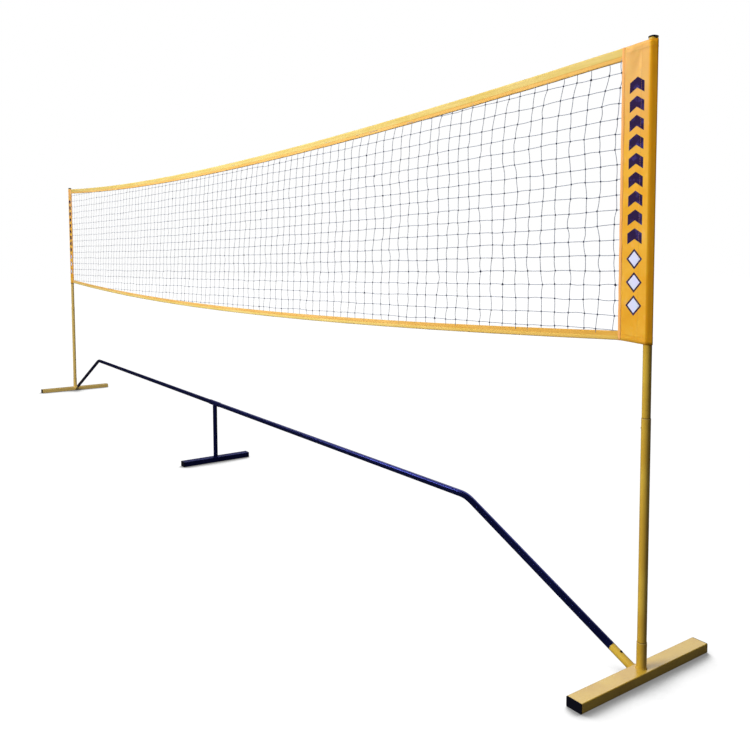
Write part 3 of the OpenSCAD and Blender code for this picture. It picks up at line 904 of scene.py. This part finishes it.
sleeve = {
    "cloth": 0.7 * mm,
    "gap": 0.6 * mm,  # from the band's middle to each layer
    "seam": 22 * mm,  # of the pocket, from the pole's axis
    "pocket": 11.25 * mm,  # radius round the pole
    "fold": (15.4 * mm, -2.2 * mm),  # its loose outer edge, from the pole's axis
    "fall": 5 * mm, "rise": 5 * mm,  # of the top and the bottom edge towards the net
    "hem": 18 * mm, "hemDepth": 0.14 * mm,
    "rows": 90, "columns": 150,
    "fine": 400, "soften": 13,  # points of the profile and its running mean
    "stitch": {"pitch": 4.2 * mm, "length": 3.0 * mm, "thread": 0.34 * mm},
    "out": 0.42 * mm,  # from the cloth's middle to its stitches
}
poleLow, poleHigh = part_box("upper_pole_right")
sleeveLow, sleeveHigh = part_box("sleeve_right")
poleSide = {"x": (poleLow.x + poleHigh.x) / 2, "low": sleeveLow.z, "high": sleeveHigh.z}
bandReach = poleSide["x"] - netHalf  # from the net's end to the pole's axis


def sleeveProfile(s):
    # Straight along the band, round the pole's front, to the outer fold, round the pole's far
    # side and back along the band, smoothed by a running mean, with its outward normal
    r, seam, back = s["pocket"], s["seam"], s["pocket"] - 2 * s["gap"]
    leave = math.acos(r / math.hypot(seam, back)) - math.atan2(back, seam)
    toFold = math.atan2(s["fold"][1], s["fold"][0])
    spread = math.acos(r / math.hypot(*s["fold"]))
    before = np.linspace(-np.pi / 2, toFold - spread, 30)
    behind = np.linspace(toFold + spread, np.pi - leave, 40)
    arcs = [np.stack([r * np.cos(turn), r * np.sin(turn)], -1) for turn in (before, behind)]
    flat = np.linspace(-bandReach, 0, 60)[:-1]
    front = np.stack([flat, 0 * flat - r], -1)
    flat = np.linspace(-seam, -bandReach, 40)
    rear = np.stack([flat, 0 * flat - back], -1)
    rough = np.concatenate([front, arcs[0], [s["fold"]], arcs[1], rear])
    run = runOf(rough)
    fine = np.linspace(0, run[-1], s["fine"])
    line = pointsAt(fine, run, rough)
    kernel = np.hanning(s["soften"]) / np.hanning(s["soften"]).sum()
    kept = s["soften"] // 2  # points at each end that stay as they are
    for k in range(2):
        line[kept:-kept, k] = np.convolve(line[:, k], kernel, "valid")
    ahead = unit(np.gradient(line, axis=0))
    return fine / run[-1], line, np.stack([ahead[:, 1], -ahead[:, 0]], -1), run[-1]


profileShare, profileLine, profileOut, sleeveGirth = sleeveProfile(sleeve)

folds = {
    # Fans of creases: how many a radian, phase, and middle, spread and height in mm
    "broad": (4.2, 2.5, 56, 42, 2.4), "sharp": (11, 0.6, 40, 26, 0.7), "low": (7, 0.0, 40, 36, 0.9),
    # Slack: radians a metre of height, radians out to the pocket, and height in mm
    "slack": ((38, 2.0, 0.6), (97, -3.0, 0.25)),
    "source": (6 * mm, 4 * mm),  # of the upper fans, past the pole and over it
    "flatness": 0.8,  # below 1, folds reach nearer the band's edges
}


def creaseFan(angle, far, fan):
    # A sine of the angle round the fan's source, in a bell over the distance from it
    count, phase, middle, spread, height = fan
    bell = np.exp(-((far - middle * mm) / (spread * mm)) ** 2)
    return np.sin(angle * count + phase) * bell * height * mm


def sleeveFold(out, z):
    # Creases that fan out from the pole's top and foot, and slack ripples. out is 0 at the net
    # and 1 at the pocket.
    dx = (1 - out) * bandReach + folds["source"][0]
    down, up = poleSide["high"] + folds["source"][1] - z, z - poleSide["low"]
    angle, far = np.arctan2(down, dx), np.hypot(dx, down)
    fans = creaseFan(angle, far, folds["broad"]) + creaseFan(angle, far, folds["sharp"])
    fans = fans + creaseFan(np.arctan2(up, dx), np.hypot(dx, up), folds["low"])
    slack = sum(np.sin(z * k + out * drift) * height * mm for k, drift, height in folds["slack"])
    return (fans + slack) * np.sin(np.pi * np.clip(out, 0, 1)) ** folds["flatness"]


def sleeveAt(share, up, s):
    # The profile's point at share of its length, at up of the height between the edges, pushed
    # out by a hem near both and by the folds
    px, py, nx, ny = (np.interp(share, profileShare, v) for v in (*profileLine.T, *profileOut.T))
    inward = np.clip(-px / bandReach, 0, 1)
    low = poleSide["low"] + s["rise"] * inward
    high = poleSide["high"] - s["fall"] * inward
    z = low + (high - low) * up
    out = np.clip((bandReach + px) / (bandReach - s["seam"]), 0, 1)
    hem = s["hemDepth"] * (np.minimum(z - low, high - z) < s["hem"] * 0.98)
    x = poleSide["x"] + px + nx * hem
    return np.stack([x, py + ny * hem + sleeveFold(out, z), z], -1)


def sleeveNormal(share, up, s):
    # Square to a small step along the profile and one up the sleeve
    step = 1e-3
    a, b = (sleeveAt(np.clip(share + d, 0, 1), up, s) for d in (step, -step))
    c, d = (sleeveAt(share, np.clip(up + d, 0, 1), s) for d in (step, -step))
    return unit(np.cross(a - b, c - d))


amber = {
    "deep": (246, 168, 46), "pale": (252, 182, 66), "gap": (150, 90, 20), "thread": 0.9 * mm,
    # Painted sheen on the creases
    "creaseAndSheen": (254, 190, 124), "creaseSheenShare": 0.3,
    # painted sheen on the band's upper part; lift is along Z, band and pocket are from the net's
    # end
    "paintedSheen": (244, 186, 128), "lift": (1.22, 1.5), "band": (0.079, 0.072), "paintedSheenShare": 0.6,
    # painted shade on the pocket
    "shade": (212, 142, 6), "pocket": (0.077, 0.081), "shaded": 0.85,
}
prints = {
    "navy": (20, 16, 70), "gloss": (64, 60, 140), "pale": (226, 224, 250),
    "paintedHighlightShare": 0.55,  # strength of the painted highlight patches on the ink
    "middle": 44 * mm,  # of the printed band, from the net's end
}
chevrons = {
    "low": 1.066, "high": 1.468, "pitch": 44.7 * mm,
    "bar": (0.22, 0.8),  # shares of the pitch between which it is inked
    "half": 20.5 * mm, "slant": 0.62,  # half their width, and their slope
}
lozenges = {
    "low": 0.888, "high": 1.056, "half": 28 * mm,  # half of one's pitch
    "wide": 0.9, "tall": 0.82,  # what distances across and up count for
    "rim": 20.5 * mm, "core": 15.2 * mm,
}


def printedSleeve(name, a, p):
    # Coated polyester in plain weave, with slanted bars printed down the band
    f = Finish(name)
    place = f.place()
    x, _, z = f.axes(place)
    across = f.math("ABSOLUTE", x) - netHalf
    u, v, _ = f.axes(f.along())
    weave = f.wave(u, a["thread"]) * f.wave(v, a["thread"])
    cloud = f.clamp(f.noise(place, 16, 4, 0.6), 0.3, 0.7)
    creaseAndSheen = f.noise(f.stretch(place, (70, 1, 30)), 1, 3, 0.6)
    colour = f.mix(cloud, a["deep"], a["pale"])
    # Painted sheen: paler and peachier where the crease noise is high
    colour = f.mix(f.clamp(creaseAndSheen, 0.55, 0.75) * a["creaseSheenShare"], colour, a["creaseAndSheen"])
    # Painted sheen: paler and peachier on the band's upper part
    paintedSheen = f.clamp(z, *a["lift"]) * f.clamp(across, *a["band"]) * a["paintedSheenShare"]
    colour = f.mix(paintedSheen, colour, a["paintedSheen"])
    # Painted shade: a deeper orange on the pocket
    colour = f.mix(f.clamp(across, *a["pocket"]) * a["shaded"], colour, a["shade"])
    # Chevrons: the height is sheared by the distance from the band's middle and cut into steps
    offset = f.math("ABSOLUTE", across - p["middle"])
    rise = z + offset * chevrons["slant"]
    step = f.math("FRACT", (rise - chevrons["low"]) / chevrons["pitch"])
    start, end = chevrons["bar"]
    bar = (offset < chevrons["half"]) * (step > start) * (step < end)
    bar = bar * (rise > chevrons["low"]) * (rise < chevrons["high"])
    # Painted highlight: paler blue patches on the ink
    patches = f.clamp(f.noise(place, 62, 3, 0.6), 0.5, 0.68)
    ink = f.mix(patches * p["paintedHighlightShare"], p["navy"], p["gloss"])
    colour = f.mix(bar, colour, ink)
    # Lozenges below them, pale with a dark rim
    spot = f.math("PINGPONG", z - lozenges["low"], lozenges["half"])
    lozenge = offset * lozenges["wide"] + (lozenges["half"] - spot) * lozenges["tall"]
    field = (z > lozenges["low"]) * (z < lozenges["high"])
    colour = f.mix((lozenge < lozenges["rim"]) * field, colour, ink)
    colour = f.mix((lozenge < lozenges["core"]) * field, colour, p["pale"])
    # Painted shade between the threads
    colour = f.mix((1 - weave) * 0.06, colour, a["gap"])
    return f.surface({
        "Base Color": colour, "Roughness": 0.5 + (1 - weave) * 0.08,
        "Normal": f.bump(weave * 0.5 + creaseAndSheen * 1.2, 0.3, 0.3 * mm), "Specular IOR Level": 0.2,
        "Sheen Weight": 0.25, "Sheen Roughness": 0.3, "Sheen Tint": (1, 0.62, 0.2, 1),
        "Subsurface Weight": 0.4, "Subsurface Scale": 4 * mm, "Subsurface Radius": (1, 0.6, 0.25),
    })


amberPrint = printedSleeve("amberPrint", amber, prints)

binding = {
    # Edging colours: its own tone, made paler as a painted highlight along the fold
    "deep": (242, 170, 92), "pale": (250, 188, 118), "gap": (196, 120, 50),
    "rib": 1.2 * mm,  # from one rib to the next
    "cloth": 0.6 * mm,
    "flat": (8 * mm, 1.6 * mm),  # its flat sides, from the net's end
    "half": 1.25 * mm, "nip": 0.1 * mm,  # half its depth, and a nip at the edge
    "nose": (1.2 * mm, 1.5 * mm),  # where its nose starts, and its reach
    "past": (0.5 * mm, 0.3 * mm),  # below and above the sleeve's own edge
    "rows": 160,
    "wander": 0.25 * mm, "puff": 0.06,  # waves along the net and in depth
    "seam": (6 * mm, 1.5 * mm),  # of its stitches, in and out
}


def bindingFinish(name, b):
    # Satin edging, ribbed along its length, with painted shade between the ribs
    f = Finish(name)
    rib = f.wave(f.axes(f.along())[1], b["rib"]) * 0.5 + 0.5
    colour = f.mix(f.noise(f.place(), 40, 3), b["deep"], b["pale"])
    # Painted shade between the ribs
    colour = f.mix((1 - rib) * 0.2, colour, b["gap"])
    normal = f.bump(rib, 0.4, 0.3 * mm)
    return f.surface({"Base Color": colour, "Roughness": 0.55, "Normal": normal})


edging = bindingFinish("edging", binding)


def makeEdging(sideName, sign, s, b):
    # A half round between two flats, over the sleeve's inner edge and carried up it with waves
    turn = np.linspace(-0.5, 0.5, 9) * np.pi
    middle = s["gap"] - s["pocket"]
    start, reach = b["nose"]
    lip = np.stack([start - reach * np.cos(turn), b["half"] * np.sin(turn)], -1)
    far, close = b["flat"]
    flat = np.linspace(far, close, 6)
    near = np.stack([flat, b["nip"] * (flat - close) / (far - close) - b["half"]], -1)
    path = np.concatenate([near, lip, (near * [1, -1])[::-1]])
    bottom = poleSide["low"] + s["rise"] - b["past"][0]
    top = poleSide["high"] - s["fall"] + b["past"][1]
    rise = np.linspace(bottom, top, b["rows"])
    x = netHalf + path[None, :, 0] + b["wander"] * np.sin(rise * 90)[:, None]
    y = middle + path[None, :, 1] * (1 + b["puff"] * np.sin(rise * 150)[:, None])
    grid = np.stack([x, y, rise[:, None] + 0 * x], -1)
    strip = putCloth("sleeveEdging" + sideName, grid, rise, runOf(path), edging, b["cloth"], sign)
    lines = []
    inset, out = b["seam"]
    for front in (-1, 1):
        line = np.stack([netHalf + inset + 0 * rise, middle + front * out + 0 * rise, rise], -1)
        lines.append((mirrorX(line, sign), np.array([[0.0, front, 0.0]]) + 0 * line))
    return strip, stitchRow("edgingSeams" + sideName, lines, s["stitch"], amberThread)


def makeSleeve(sideName, sign, s):
    # The folded profile carried up the pole, with rows added where its hems step
    height = poleSide["high"] - poleSide["low"]
    hem = s["hem"] / height
    share = np.linspace(0, 1, s["columns"])
    steps = [hem * 0.96, hem, 1 - hem, 1 - hem * 0.96]
    up = np.unique(np.concatenate([np.linspace(0, 1, s["rows"]), steps]))
    grid = sleeveAt(share[None], up[:, None], s)
    cloth = putCloth("sleeveCloth" + sideName, grid, up * height, share * sleeveGirth,
                     amberPrint, s["cloth"], sign)
    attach(cloth, "poles")
    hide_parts("sleeve_" + sideName.lower())
    # Stitch lines: round both hems and down the pocket's seam, front and back
    full, climb = np.linspace(0.01, 0.99, 500), np.linspace(0.004, 0.996, 500)
    seam, sewn = (bandReach - s["seam"]) / sleeveGirth, hem * 0.9
    lines = []
    for shares, ups in ((full, sewn + 0 * full), (full, 1 - sewn + 0 * full),
                        (seam + 0 * climb, climb), (1 - seam + 0 * climb, climb)):
        spot, out = sleeveAt(shares, ups, s), sleeveNormal(shares, ups, s)
        lines.append((mirrorX(spot + out * s["out"], sign), mirrorX(out, sign)))
    seams = stitchRow("sleeveSeams" + sideName, lines, s["stitch"], amberThread)
    strip, edgeSeams = makeEdging(sideName, sign, s, binding)
    for item in (seams, strip, edgeSeams):
        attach(item, "poles")


makeSleeve("Left", -1, sleeve)
makeSleeve("Right", 1, sleeve)
print("sleeves")
